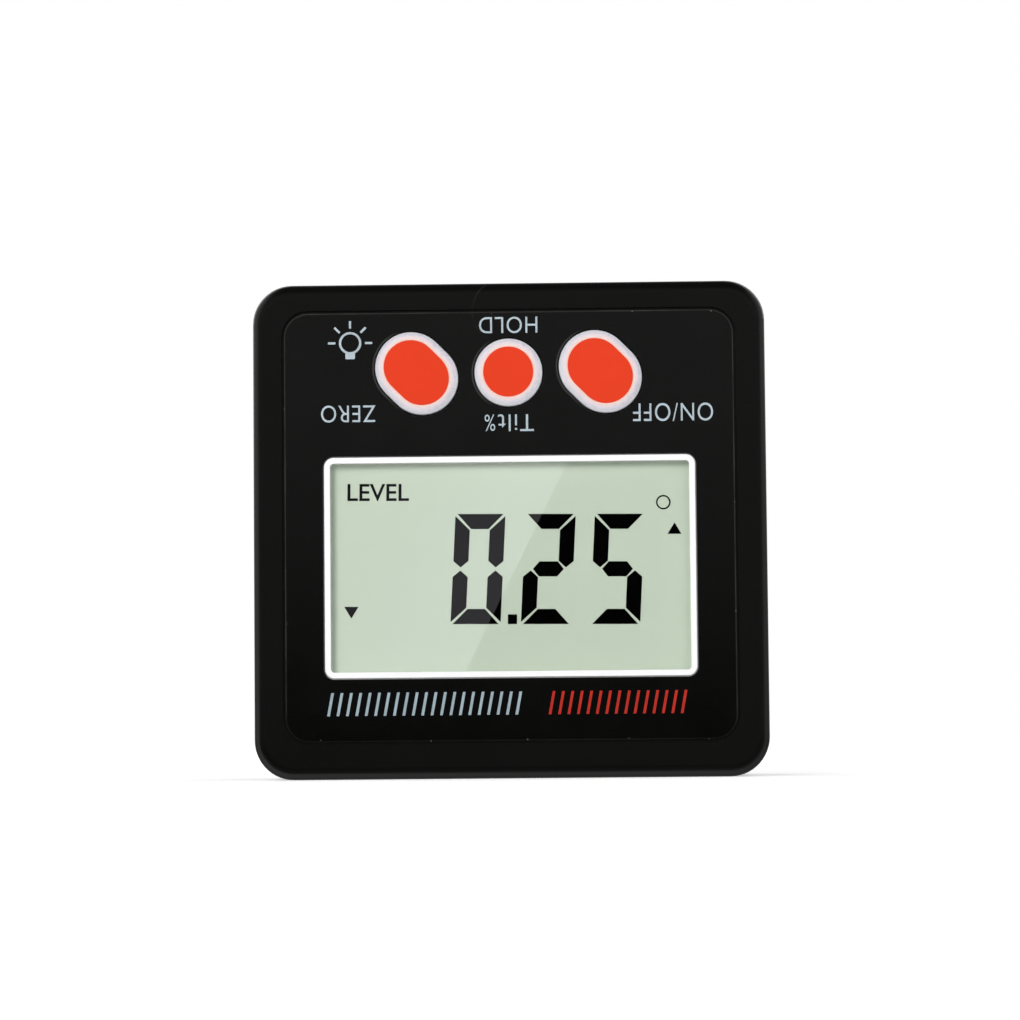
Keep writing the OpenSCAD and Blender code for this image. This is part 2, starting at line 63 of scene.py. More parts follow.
# Turns a drawing in X and Y to face -Y, upright
UPRIGHT = Matrix.Rotation(math.radians(90), 4, "X")
# A Bezier handle of this share of the radius draws a quarter circle
ARC = 0.5523

# Keys, as their solids have them, and the gap that the overlay leaves round each one
RIM = 1.0 * MM
STRETCH = 1.75 * MM
LEAN = math.radians(-45)
HOLE_GAP = 0.15 * MM

# Corners of the overlay and of its window, and the slit between window and border
FILM_CORNER = 2.65 * MM
WINDOW_CORNER = 1.15 * MM
WINDOW_SLIT = 0.3 * MM
# Distances from the overlay's outline: the grey line painted along its edge as a highlight, and
# lint beside that line
FILM_EDGE_HIGHLIGHT = (-0.20 * MM, -0.08 * MM)
LINT_BAND = (-0.32 * MM, -0.24 * MM)
LINT_GREY = (0.11, 0.11, 0.10)
# The height in which the painted edge highlight fades out downwards, and the painted highlight ring
# at a key's hole
EDGE_HIGHLIGHT_FADE = 6 * MM
HOLE_HIGHLIGHT_RING = (0.08 * MM, 0.24 * MM)

# A hair that lies in an arc over the top edge, and the heights between which it fades
HAIR_CENTRE = Vector((-0.185, 50.81)) * MM
HAIR_RADIUS = 3.69 * MM
HAIR_HALF_WIDTH = 0.035 * MM
HAIR_FADE = (49 * MM, 54 * MM)

# Legends on the overlay: words, centre in X and Z, width and height, in millimetres
LEGENDS = (
    ("HOLD", (0.02, 49.30), (6.35, 1.80)),
    ("Tilt", (0.77, 38.60), (3.90, 1.85)),
    ("%", (-2.06, 38.62), (1.15, 1.80)),
    ("ZERO", (-17.48, 39.76), (5.95, 1.86)),
    ("ON/OFF", (17.86, 39.59), (8.70, 1.97)),
)
LEGEND_WEIGHT = -0.004
LEGEND_SPACING = 1.08
LAMP_PLACE = Vector((-17.24, 47.50)) * MM
LAMP_RADIUS = 1.22 * MM
LAMP_RAYS = 5
# Shares of the lamp's radius: its line, the reach of its rays, and its foot
LAMP_LINE = 0.2
RAY_REACH = (1.32, 1.98)
FOOT_SIZE = (0.86, 0.58)
FOOT_CORNER = 0.10
FOOT_DROP = 1.15
# Share of the ink's thickness that stands above the overlay
PRINT_PROUD = 0.9

# The two rows of bars: first and last place in X, then what both share
GREY_BARS = (-19.6 * MM, 1.6 * MM)
RED_BARS = (4.4 * MM, 19.4 * MM)
BARS_Z = 8.15 * MM
BAR_SIZE = Vector((0.30, 2.5)) * MM
BAR_PITCH = 1.02 * MM
BAR_SLANT = 0.46 * MM

# The display's reading, with its marks placed from the display's centre
SEGMENTS = {"0": "abcdef", "2": "abged", "5": "afgcd"}
DIGITS = (("0", -6.53 * MM), ("2", 1.13 * MM), ("5", 8.66 * MM))
DIGITS_FOOT = -6.23 * MM
DIGIT_SLANT = math.tan(math.radians(2.6))
POINT_LEFT = -0.28 * MM
POINT_SIZE = Vector((1.0, 1.05)) * MM
RING_PLACE = Vector((16.66, 7.03)) * MM
RING_RADII = (0.79 * MM, 0.63 * MM)
# Arrows, up and down: centre, width and height in millimetres
ARROWS = (((17.87, 4.2), 1.52, 1.25), ((-17.33, -4.98), 1.56, -1.28))
WORD_PLACE = Vector((-14.43, 8.135)) * MM
WORD_SIZE = Vector((6.72, 1.87)) * MM
WORD_WEIGHT = 0.011
# The glass sits slightly turned in its holder
READING_TURN = math.radians(0.5)

# Shade that the border casts on the display: its shift in X and Z, its corner and its fade
SHADE_SHIFT = Vector((0.38, -0.3)) * MM
SHADE_CORNER = 0.6 * MM
SHADE_FADE = (-0.5 * MM, 0.47 * MM)
# Shares of light that the lens and the glass behind it mirror
LENS_MIRROR = 0.12
GLASS_MIRROR = 0.19

# Painted glow (emission) next to a cap and at its outer edge, for light that the silicone would
# carry; the painted highlight of that edge; the grey of its mottling; and painted shade in its gap
CAP_GLOW = (1.0, 0.58, 0.47)
CAP_GLOW_STRENGTH = 0.24
EDGE_GLOW = (0.92, 0.94, 1.0)
EDGE_GLOW_STRENGTH = 0.16
EDGE_HIGHLIGHT_WHITE = (0.98, 0.98, 1.0)
MOTTLE_GREY = (0.50, 0.50, 0.58)
KEY_GAP_SHADE = (0.05, 0.05, 0.05)
# Distances from a rim's outline: the cap's blush and painted glow, and the painted highlight and
# glow of the outer edge
CAP_BLUSH = (-RIM, -RIM * 0.15)
CAP_LIGHT = (-RIM * 0.98, -RIM * 0.78)
EDGE_HIGHLIGHT_SPAN = (-0.3 * MM, -0.05 * MM)
# Heights above and below the overlay's front between which a rim's painted gap shade begins
GAP_SHADE_FADE = (-0.15 * MM, 0.1 * MM)

# Depth of a surface's relief: moulded grain, fine grain, lay of ink and scratches in metal
MOULDED_DEPTH = 0.02 * MM
FINE_DEPTH = 0.01 * MM
INK_DEPTH = 0.005 * MM
SCRATCH_DEPTH = 0.003 * MM
SCRATCH_SCALE = (250, 9000, 9000)
EDGE_ROUNDING = 0.07 * MM

# Painted shade in recesses of metal that are narrower than this
RECESS = 0.8 * MM
METAL_RECESS_SHADE = (0.06, 0.06, 0.06)

# A cell's sleeve from its middle: the end of the grey band, and of the sleeve
BAND_REACH = 14 * MM
SLEEVE_REACH = 22.1 * MM

# Usual span of a noise texture's values
NOISE = (0.3, 0.7)

# Soft lamps: name, place, side in metres and power in watts
LAMPS = (
    ("key_lamp", (-0.26, -0.80, 0.30), 0.36, 3.15),
    ("fill_lamp", (0.34, -0.80, 0.14), 0.40, 1.38),
    ("rear_left_lamp", (-0.44, 0.60, 0.42), 0.66, 1.6),
    ("rear_right_lamp", (0.46, 0.55, 0.47), 0.66, 1.3),
)
LAMP_AIM = Vector((0, 0, 0.027))
AMBIENT = 0.42
FLOOR_REACH = 3.0
# The floor's own white for the camera, near the gauge and far from it, and where it changes
FLOOR_WHITE = (0.46, 0.66)
FLOOR_FADE = (0.04, 0.30)

# The glare card: width and height, the middle of its right edge, its slant and its light,
# which fades to the left over a share of its width
CARD_SIZE = (0.10, 0.4)
CARD_EDGE = (-0.0145, -0.80, 0.061)
CARD_SLANT = math.radians(26.5)
CARD_GLOW = 0.25
CARD_FADE = 0.9
CARD_COLOUR = (0.94, 0.93, 1.0)


def middle(node):
    """Centre of a node's box at rest."""
    low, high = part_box(node)
    return (Vector(low) + Vector(high)) / 2


def front_of(node):
    """The Y of a node's front, the side that faces the camera."""
    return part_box(node)[0][1]


# Settings that a user would change


def colour_property(name, description, default):
    return FloatVectorProperty(
        name=name, description=description, default=default, subtype="COLOR", size=3, min=0, max=1
    )


def length_property(name, description, millimetres):
    return FloatProperty(
        name=name, description=description, default=millimetres * MM, unit="LENGTH", min=0
    )


def angle_property(name, description, degrees):
    return FloatProperty(
        name=name, description=description, default=math.radians(degrees), subtype="ANGLE"
    )


class GaugeFinishes(bpy.types.PropertyGroup):
    body_black: colour_property("Body", "Satin black of the mouldings", (0.0024, 0.0026, 0.0021))
    film_black: colour_property("Overlay", "Black of the overlay", (0.0012, 0.0014, 0.0010))
    # The overlay edge grey is a painted highlight along the overlay's cut edge and key holes
    film_edge: colour_property("Overlay edge", "Grey of its cut edge", (0.042, 0.042, 0.040))
    legend_grey: colour_property("Legends", "Pale grey of the legends", (0.49, 0.585, 0.64))
    bar_grey: colour_property("Grey bars", "Grey of the printed bars", (0.38, 0.48, 0.53))
    bar_red: colour_property("Red bars", "Red of the printed bars", (0.55, 0.025, 0.013))
    border_white: colour_property("Border", "White of the display's border", (0.92, 0.92, 0.93))
    display_tint: colour_property("Display", "Grey-green of the glass", (0.562, 0.644, 0.522))
    reading_black: colour_property("Reading", "Black of the segments", (0.0010, 0.0010, 0.0010))
    rim_white: colour_property("Key rim", "Translucent white of the rims", (0.82, 0.81, 0.92))
    rim_blush: colour_property("Key rim blush", "Red that shows next to a cap", (1.0, 0.79, 0.74))
    cap_red: colour_property("Key cap", "Red of the key caps", (0.835, 0.046, 0.009))


class GaugeSizes(bpy.types.PropertyGroup):
    film_edge: length_property("Film edge", "Rounding of the overlay's edges", 0.09)
    print_thickness: length_property("Print", "Thickness of the printed ink", 0.02)
    digit_height: length_property("Digit height", "Height of the reading's digits", 12.0)
    digit_width: length_property("Digit width", "Width of the reading's digits", 5.45)
    stroke: length_property("Stroke", "Thickness of a segment", 1.64)
    segment_gap: length_property("Segment gap", "Gap between two segments", 0.3)
    border_width: length_property("Border width", "Outer width of the display's border", 40.3)
    border_height: length_property("Border height", "Outer height of the border", 23.95)
    border: length_property("Border", "Width of the border's line", 0.6)


class GaugeStage(bpy.types.PropertyGroup):
    camera_distance: length_property("Camera distance", "From the face to the camera", 380)
    camera_height: length_property("Camera height", "Above the floor", 4.5)
    camera_side: length_property("Camera side", "To the right of the middle", 8)
    frame_width: length_property("Frame width", "Width of the picture at the face", 110.5)
    pitch: angle_property("Pitch", "How far the camera looks up", 3.7)
    yaw: angle_property("Yaw", "How far the camera turns left", 1.2)
    roll: angle_property("Roll", "How far the camera leans", 0.52)


# Flat outlines as lists of Bezier knots: point, left handle, right handle


def straighten(starts, ends):
    """Draws a straight side from each start knot to its end knot."""
    for start, end in zip(starts, ends):
        step = (end[0] - start[0]) / 3
        start[2] = start[0] + step
        end[1] = end[0] - step


def rounded_rectangle(width, height, radius, centre):
    knots = []
    reach = radius * ARC
    for turn in range(4):
        spin = Matrix.Rotation(math.radians(90 * turn), 2)
        half = Vector((height, width) if turn % 2 else (width, height)) / 2
        start = Vector((half.x, half.y - radius))
        end = Vector((half.x - radius, half.y))
        corner = (
            (start, start, start + Vector((0, reach))),
            (end, end + Vector((reach, 0)), end),
        )
        knots += [[Vector(centre) + spin @ point for point in knot] for knot in corner]
    straighten(knots[1::2], knots[2::2] + knots[:1])
    return knots


def stadium(radius, stretch, lean, centre):
    """An oblong outline with round ends, or a circle where it isn't stretched."""
    knots = []
    spin = Matrix.Rotation(lean, 2)
    # A knot at the right end, two above, one at the left end and two below
    for turn, ends in enumerate(((1,), (1, -1), (-1,), (-1, 1))):
        out = Matrix.Rotation(math.radians(90 * turn), 2) @ Vector((1, 0))
        along = Vector((-out.y, out.x)) * radius * ARC
        for end in ends if stretch else ends[:1]:
            point = out * radius + Vector((end * stretch / 2, 0))
            knot = (point, point - along, point + along)
            knots.append([Vector(centre) + spin @ p for p in knot])
    if stretch:
        straighten((knots[1], knots[4]), (knots[2], knots[5]))
    return knots


def circle(radius, centre):
    return stadium(radius, 0, 0, centre)


def straight(points):
    """A polygon as knots without a curve."""
    return [[Vector(p)] * 3 for p in points]


# Pieces


def add_object(name, data):
    piece = bpy.data.objects.new(name, data)
    bpy.context.scene.collection.objects.link(piece)
    return piece


def standing_mesh(name, curve, place):
    """Makes a mesh piece from a flat curve or text, stood upright at its place."""
    drawing = add_object(name + "_drawing", curve)
    depsgraph = bpy.context.evaluated_depsgraph_get()
    mesh = bpy.data.meshes.new_from_object(drawing.evaluated_get(depsgraph))
    bpy.data.objects.remove(drawing)
    bpy.data.curves.remove(curve)
    mesh.name = name
    mesh.transform(Matrix.Translation(place) @ UPRIGHT)
    return add_object(name, mesh)


def flat_piece(name, outlines, front, thickness, edge=0.0):
    """A plate from outlines in X and Z, with inner ones as holes and its front at Y = front."""
    curve = bpy.data.curves.new(name, "CURVE")
    curve.dimensions = "2D"
    curve.fill_mode = "BOTH"
    curve.resolution_u = 16
    curve.extrude = thickness / 2 - edge
    curve.bevel_depth = edge
    curve.bevel_resolution = 3
    curve.offset = -edge
    for knots in outlines:
        spline = curve.splines.new("BEZIER")
        spline.use_cyclic_u = True
        spline.bezier_points.add(len(knots) - 1)
        for knot, places in zip(spline.bezier_points, knots):
            knot.handle_left_type = knot.handle_right_type = "FREE"
            knot.co, knot.handle_left, knot.handle_right = (p.to_3d() for p in places)
        if all(point == left for point, left, _ in knots):
            spline.resolution_u = 1
    return standing_mesh(name, curve, Vector((0, front + thickness / 2, 0)))


def lettering(name, words, centre, size, front, thickness, weight, spacing=1.0, inverted=False):
    """Plain lettering of a set width and height."""
    font = bpy.data.curves.new(name, "FONT")
    font.body = words
    font.offset = weight
    font.space_character = spacing
    font.align_x, font.align_y = "CENTER", "CENTER"
    font.extrude = thickness / 2
    font.resolution_u = 6
    piece = standing_mesh(name, font, Vector((0, 0, 0)))
    by_axis = list(zip(*(vertex.co for vertex in piece.data.vertices)))
    low, high = (Vector([limit(axis) for axis in by_axis]) for limit in (min, max))
    centring = Matrix.Translation(-(low + high) / 2)
    sizing = Matrix.Diagonal((size[0] / (high.x - low.x), 1, size[1] / (high.z - low.z), 1))
    turning = Matrix.Rotation(math.pi if inverted else 0, 4, "Y")
    place = Matrix.Translation((centre[0], front + thickness / 2, centre[1]))
    piece.data.transform(place @ turning @ sizing @ centring)
    return piece


def join_pieces(name, pieces):
    """Joins separate marks into one piece."""
    with bpy.context.temp_override(
        active_object=pieces[0], selected_objects=pieces, selected_editable_objects=pieces
    ):
        bpy.ops.object.join()
    pieces[0].name = pieces[0].data.name = name
    return pieces[0]


def make_sheet(name, shape):
    """A square sheet that reaches 1 m from its centre, shaped by a matrix."""
    mesh = bpy.data.meshes.new(name)
    sheet = bmesh.new()
    bmesh.ops.create_grid(sheet, x_segments=1, y_segments=1, size=1)
    sheet.transform(shape)
    sheet.to_mesh(mesh)
    sheet.free()
    return add_object(name, mesh)


def dress(piece, material):
    piece.data.materials.clear()
    piece.data.materials.append(material)


def add_piece(piece, material, body=ROOT):
    dress(piece, material)
    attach(piece, body)
    return piece


# Parts of materials


def new_material(name):
    material = bpy.data.materials.new(name)
    material.use_nodes = True
    tree = material.node_tree
    return material, tree, tree.nodes["Principled BSDF"]


def add_node(tree, kind, **settings):
    node = tree.nodes.new(kind)
    for name, value in settings.items():
        setattr(node, name, value)
    return node


def fill(socket, value):
    """Links a source to a socket, or sets a number or colour on it."""
    if isinstance(value, bpy.types.NodeSocket):
        socket.id_data.links.new(value, socket)
    elif socket.type == "RGBA":
        socket.default_value = (*value, 1)
    else:
        socket.default_value = value


def plug(node, **values):
    """Fills a node's sockets by name, with underscores for spaces."""
    for name, value in values.items():
        fill(node.inputs[name.replace("_", " ")], value)
    return node


def show_surface(tree, surface):
    plug(tree.nodes["Material Output"], Surface=surface)


def calculate(tree, operation, *values):
    """Result of a Math node, or of a chain of them for more than two values."""
    while True:
        node = add_node(tree, "ShaderNodeMath", operation=operation)
        for socket, value in zip(node.inputs, values):
            fill(socket, value)
        values = (node.outputs[0], *values[2:])
        if len(values) == 1:
            return values[0]


def remap(tree, value, span, result):
    """A smooth step from one span of values to another."""
    node = add_node(tree, "ShaderNodeMapRange", interpolation_type="SMOOTHSTEP")
    plug(node, Value=value, From_Min=span[0], From_Max=span[1], To_Min=result[0], To_Max=result[1])
    return node.outputs["Result"]


def mix_colours(tree, factor, first, second):
    """The first colour at a factor of 0, the second at 1."""
    node = add_node(tree, "ShaderNodeMix", data_type="RGBA")
    colours = [socket for socket in node.inputs if socket.type == "RGBA"]
    for socket, value in zip((node.inputs["Factor"], *colours), (factor, first, second)):
        fill(socket, value)
    return next(socket for socket in node.outputs if socket.type == "RGBA")


def darker(colour, share):
    return tuple(c * share for c in colour)


def coordinate(tree, kind="Object"):
    return add_node(tree, "ShaderNodeTexCoord").outputs[kind]


def axes(tree, vector):
    """The X, Y and Z of a vector, by name."""
    return plug(add_node(tree, "ShaderNodeSeparateXYZ"), Vector=vector).outputs


def bump(tree, shader, height, strength, distance):
    node = add_node(tree, "ShaderNodeBump")
    plug(node, Height=height, Strength=strength, Distance=distance)
    plug(shader, Normal=node.outputs["Normal"])
    return node


# Shared node groups


def new_group(name, inputs, output_names):
    """A shader node group with float inputs, named with their defaults, and float outputs."""
    group = bpy.data.node_groups.new(name, "ShaderNodeTree")
    for label, default in inputs.items():
        socket = group.interface.new_socket(label, in_out="INPUT", socket_type="NodeSocketFloat")
        socket.default_value = default
    for label in output_names:
        group.interface.new_socket(label, in_out="OUTPUT", socket_type="NodeSocketFloat")
    given = group.nodes.new("NodeGroupInput").outputs
    return group, given, group.nodes.new("NodeGroupOutput")


def moulded_grain(name):
    """Fine spark-eroded grain of moulded plastic, with slow unevenness of its sheen."""
    inputs = {"Grain Scale": 4500.0, "Patch Scale": 60.0}
    group, given, result = new_group(name, inputs, ("Height", "Patches"))
    place = coordinate(group)
    for output, scale, detail in (("Height", "Grain Scale", 3.0), ("Patches", "Patch Scale", 4.0)):
        noise = add_node(group, "ShaderNodeTexNoise")
        plug(noise, Vector=place, Scale=given[scale], Detail=detail)
        plug(result, **{output: noise.outputs["Fac"]})
    return group


def dust_specks(name):
    """Sparse specks in loose clusters, as a mask."""
    cluster_scale = 90.0
    inputs = {"Scale": 260.0, "Size": 0.035, "Chance": 0.62}
    group, given, result = new_group(name, inputs, ("Specks",))
    place = coordinate(group)
    cells = plug(add_node(group, "ShaderNodeTexVoronoi"), Vector=place, Scale=given["Scale"])
    chance = plug(add_node(group, "ShaderNodeTexNoise"), Vector=place, Scale=cluster_scale)
    near = calculate(group, "LESS_THAN", cells.outputs["Distance"], given["Size"])
    lucky = calculate(group, "GREATER_THAN", chance.outputs["Fac"], given["Chance"])
    plug(result, Specks=calculate(group, "MULTIPLY", near, lucky))
    return group


def outline_distance(name):
    """Distance to a rounded outline drawn in X and Z, below zero inside it."""
    sizes = ("Centre X", "Centre Z", "Lean", "Half Width", "Half Height", "Radius")
    group, given, result = new_group(name, dict.fromkeys(sizes, 0.0), ("Distance",))
    centre = add_node(group, "ShaderNodeCombineXYZ")
    plug(centre, X=given["Centre X"], Z=given["Centre Z"])
    away = add_node(group, "ShaderNodeVectorMath", operation="SUBTRACT")
    fill(away.inputs[0], coordinate(group))
    fill(away.inputs[1], centre.outputs[0])
    turned = add_node(group, "ShaderNodeVectorRotate", rotation_type="Y_AXIS")
    plug(turned, Vector=away.outputs[0], Angle=given["Lean"])
    place = axes(group, turned.outputs[0])
    corner = add_node(group, "ShaderNodeCombineXYZ")
    reaches = []
    for axis, half in (("X", "Half Width"), ("Z", "Half Height")):
        flat = calculate(group, "SUBTRACT", given[half], given["Radius"])
        reach = calculate(group, "SUBTRACT", calculate(group, "ABSOLUTE", place[axis]), flat)
        fill(corner.inputs[axis], calculate(group, "MAXIMUM", reach, 0.0))
        reaches.append(reach)
    length = add_node(group, "ShaderNodeVectorMath", operation="LENGTH")
    fill(length.inputs[0], corner.outputs[0])
    inside = calculate(group, "MINIMUM", calculate(group, "MAXIMUM", *reaches), 0.0)
    total = calculate(group, "ADD", length.outputs["Value"], inside)
    plug(result, Distance=calculate(group, "SUBTRACT", total, given["Radius"]))
    return group


def hair_line(name):
    """A single fine hair on the face, the left part of a circle, as a mask."""
    left_part = 0.6
    group, _, result = new_group(name, {}, ("Hair",))
    distance = place_group(
        group, "outline_distance", Centre_X=HAIR_CENTRE.x, Centre_Z=HAIR_CENTRE.y,
        Half_Width=HAIR_RADIUS, Half_Height=HAIR_RADIUS, Radius=HAIR_RADIUS,
    )["Distance"]
    place = axes(group, coordinate(group))
    line = calculate(group, "LESS_THAN", calculate(group, "ABSOLUTE", distance), HAIR_HALF_WIDTH)
    left = calculate(group, "LESS_THAN", place["X"], HAIR_CENTRE.x - HAIR_RADIUS * left_part)
    front = calculate(group, "LESS_THAN", place["Y"], 0.0)
    faint = remap(group, place["Z"], HAIR_FADE, (0.1, 1.0))
    plug(result, Hair=calculate(group, "MULTIPLY", line, left, front, faint))
    return group


GROUPS = {
    "moulded_grain": moulded_grain,
    "dust_specks": dust_specks,
    "outline_distance": outline_distance,
    "hair_line": hair_line,
}


def place_group(tree, name, **values):
    """Outputs of a shared group, which is made the first time that it is used."""
    group = bpy.data.node_groups.get(name) or GROUPS[name](name)
    return plug(add_node(tree, "ShaderNodeGroup", node_tree=group), **values).outputs


# Finishes of mouldings, ink and metal


def moulding(name, colour, roughness, grain, specular, hair=False):
    """Moulded plastic with fine grain, uneven sheen, softened edges and a little dust."""
    material, tree, shader = new_material(name)
    grains = place_group(tree, "moulded_grain")
    specks = place_group(tree, "dust_specks")["Specks"]
    if hair:
        specks = calculate(tree, "MAXIMUM", specks, place_group(tree, "hair_line")["Hair"])
    dusty = tuple(min(1, c * 3 + 0.02) for c in colour)
    sheen = remap(tree, grains["Patches"], NOISE, (roughness - 0.04, roughness + 0.05))
    plug(shader, Base_Color=mix_colours(tree, specks, colour, dusty), Roughness=sheen)
    plug(shader, Specular_IOR_Level=specular)
    edges = plug(add_node(tree, "ShaderNodeBevel", samples=6), Radius=EDGE_ROUNDING)
    plug(bump(tree, shader, grains["Height"], grain, MOULDED_DEPTH), Normal=edges.outputs["Normal"])
    return material


def plain_ink(name, colour, roughness=0.5, specular=0.3):
    """Printed ink with a slightly uneven lay."""
    material, tree, shader = new_material(name)
    grains = place_group(tree, "moulded_grain", Grain_Scale=9000.0, Patch_Scale=700.0)
    lay = remap(tree, grains["Patches"], (0.35, 0.65), (0, 1))
    plug(shader, Base_Color=mix_colours(tree, lay, darker(colour, 0.86), colour))
    plug(shader, Roughness=roughness, Specular_IOR_Level=specular)
    bump(tree, shader, grains["Height"], 0.1, INK_DEPTH)
    return material


def metal(name, colour, roughness):
    """Plated metal with fine scratches along X, uneven shine and painted shade in its recesses."""
    material, tree, shader = new_material(name)
    grains = place_group(tree, "moulded_grain", Patch_Scale=140.0)
    stretched = add_node(tree, "ShaderNodeMapping")
    plug(stretched, Vector=coordinate(tree), Scale=SCRATCH_SCALE)
    scratches = add_node(tree, "ShaderNodeTexNoise")
    plug(scratches, Vector=stretched.outputs["Vector"], Scale=1.0, Detail=3.0)
    plated = mix_colours(tree, grains["Patches"], darker(colour, 0.86), colour)
    # Painted shade: the colour darkens where ambient occlusion finds a narrow recess
    openness = plug(add_node(tree, "ShaderNodeAmbientOcclusion", samples=8), Distance=RECESS)
    recess_shade = remap(tree, openness.outputs["AO"], (0.3, 0.95), (1, 0))
    shine = remap(tree, scratches.outputs["Fac"], NOISE, (roughness * 0.8, roughness * 1.25))
    plug(shader, Base_Color=mix_colours(tree, recess_shade, plated, METAL_RECESS_SHADE), Roughness=shine)
    plug(shader, Metallic=1)
    bump(tree, shader, scratches.outputs["Fac"], 0.15, SCRATCH_DEPTH)
    return material


class GAUGE_OT_finish_mouldings(bpy.types.Operator):
    """Gives the body, the rear cover and the battery door their satin black"""

    bl_idname = "gauge.finish_mouldings"
    bl_label = "Finish Mouldings"

    def execute(self, context):
        colour = tuple(context.scene.gauge_finishes.body_black)
        dress(nodes["housing"], moulding("body_satin", colour, 0.30, 0.12, 0.45, hair=True))
        dress(nodes["rear_cover"], moulding("cover_satin", colour, 0.46, 0.25, 0.42))
        dress(nodes["battery_door"], moulding("door_satin", colour, 0.46, 0.25, 0.42))
        return {"FINISHED"}


# Printed overlay


def key_outline(key):
    """Centre in X and Z, end radius and stretch of a key's rim, from its cap."""
    low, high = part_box(key + "_cap")
    stretch = 0.0 if key == "hold" else STRETCH
    # A leaning oblong is as wide as its end circle and the lean's share of its stretch
    radius = (high[0] - low[0] - stretch * math.cos(LEAN)) / 2 + RIM
    return middle(key + "_cap").xz, radius, stretch


def key_distance(tree, key, gap=0.0):
    """Distance to a key's outline, or to one that lies a gap outside it."""
    centre, radius, stretch = key_outline(key)
    reach = radius + gap
    return place_group(
        tree, "outline_distance", Centre_X=centre.x, Centre_Z=centre.y, Lean=LEAN,
        Half_Width=reach + stretch / 2, Half_Height=reach, Radius=reach,
    )["Distance"]


def overlay_black(black, edge):
    """Printed film with a soft sheen and lint, with uneven grey lines painted along its cut edges
    as highlights.
    """
    material, tree, shader = new_material("overlay_black")
    low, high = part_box("front_overlay")
    centre = middle("front_overlay")
    place = axes(tree, coordinate(tree))
    grains = place_group(tree, "moulded_grain", Patch_Scale=160.0)
    distance = place_group(
        tree, "outline_distance", Centre_X=centre.x, Centre_Z=centre.z, Radius=FILM_CORNER,
        Half_Width=(high[0] - low[0]) / 2, Half_Height=(high[2] - low[2]) / 2,
    )["Distance"]
    # Painted highlight: an uneven grey line along the cut edge, fading out downwards
    line = calculate(
        tree, "MULTIPLY",
        remap(tree, distance, FILM_EDGE_HIGHLIGHT, (0, 1)),
        remap(tree, grains["Patches"], (0.35, 0.7), (0.5, 1.0)),
        remap(tree, place["Z"], (low[2], low[2] + EDGE_HIGHLIGHT_FADE), (0.3, 1.0)),
    )
    for key in KEYS:
        # A painted highlight rings each key's hole at its left, where its edge would catch light
        hole, radius, _ = key_outline(key)
        ring = remap(tree, key_distance(tree, key, HOLE_GAP), HOLE_HIGHLIGHT_RING, (1, 0))
        lit = remap(tree, place["X"], (hole.x - radius, hole.x - radius * 0.4), (1, 0))
        line = calculate(tree, "MAXIMUM", line, calculate(tree, "MULTIPLY", ring, lit))
    specks = place_group(tree, "dust_specks")["Specks"]
    hair = place_group(tree, "hair_line")["Hair"]
    # The edge grey marks the painted highlights, the dust specks and the hair
    marked = mix_colours(tree, calculate(tree, "MAXIMUM", line, specks, hair), black, edge)
    lint = place_group(tree, "dust_specks", Scale=1300.0, Size=0.11, Chance=0.44)["Specks"]
    near_edge = remap(tree, distance, LINT_BAND, (0, 1))
    lint = calculate(tree, "MULTIPLY", lint, near_edge)
    plug(shader, Base_Color=mix_colours(tree, lint, marked, LINT_GREY))
    plug(shader, Roughness=remap(tree, grains["Patches"], NOISE, (0.10, 0.16)))
    bump(tree, shader, grains["Height"], 0.03, FINE_DEPTH)
    return material


class GAUGE_OT_make_overlay(bpy.types.Operator):
    """Makes the printed overlay as a film with rounded edges, open for the display and the keys"""

    bl_idname = "gauge.make_overlay"
    bl_label = "Make Overlay"

    def execute(self, context):
        finishes, sizes = context.scene.gauge_finishes, context.scene.gauge_sizes
        low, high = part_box("front_overlay")
        width, thickness, height = Vector(high) - Vector(low)
        outlines = [
            rounded_rectangle(width, height, FILM_CORNER, middle("front_overlay").xz),
            rounded_rectangle(
                sizes.border_width + WINDOW_SLIT, sizes.border_height + WINDOW_SLIT,
                WINDOW_CORNER, middle("display_bezel").xz,
            ),
        ]
        for key in KEYS:
            centre, radius, stretch = key_outline(key)
            outlines.append(stadium(radius + HOLE_GAP, stretch, LEAN, centre))
        film = flat_piece("overlay_film", outlines, low[1], thickness, sizes.film_edge)
        black = overlay_black(tuple(finishes.film_black), tuple(finishes.film_edge))
        add_piece(film, black)
        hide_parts("front_overlay")
        return {"FINISHED"}


# Print on the overlay


def slanted_bars(first, last):
    """A row of plain slanted bars between two places along X."""
    half = BAR_SIZE / 2
    lean = BAR_SLANT / 2
    outlines = []
    for i in range(int((last - first) / BAR_PITCH) + 1):
        x = first + i * BAR_PITCH
        outlines.append(straight([
            (x - half.x - lean, BARS_Z - half.y), (x + half.x - lean, BARS_Z - half.y),
            (x + half.x + lean, BARS_Z + half.y), (x - half.x + lean, BARS_Z + half.y),
        ]))
    return outlines


def lamp_sign(centre, bulb):
    """A small round lamp with rays above it."""
    line = bulb * LAMP_LINE
    outlines = [circle(bulb, centre), circle(bulb - line, centre)]
    for ray in range(LAMP_RAYS):
        turn = math.pi * ray / (LAMP_RAYS - 1)
        out = Vector((math.cos(turn), math.sin(turn)))
        side = Vector((-out.y, out.x)) * line / 2
        near, far = (centre + out * bulb * share for share in RAY_REACH)
        outlines.append(straight([near - side, far - side, far + side, near + side]))
    return outlines


def lamp_foot(centre, bulb):
    """The foot of the small lamp, over the lowest part of its ring."""
    width, height = (bulb * share for share in FOOT_SIZE)
    place = centre - Vector((0, bulb * FOOT_DROP))
    return [rounded_rectangle(width, height, bulb * FOOT_CORNER, place)]


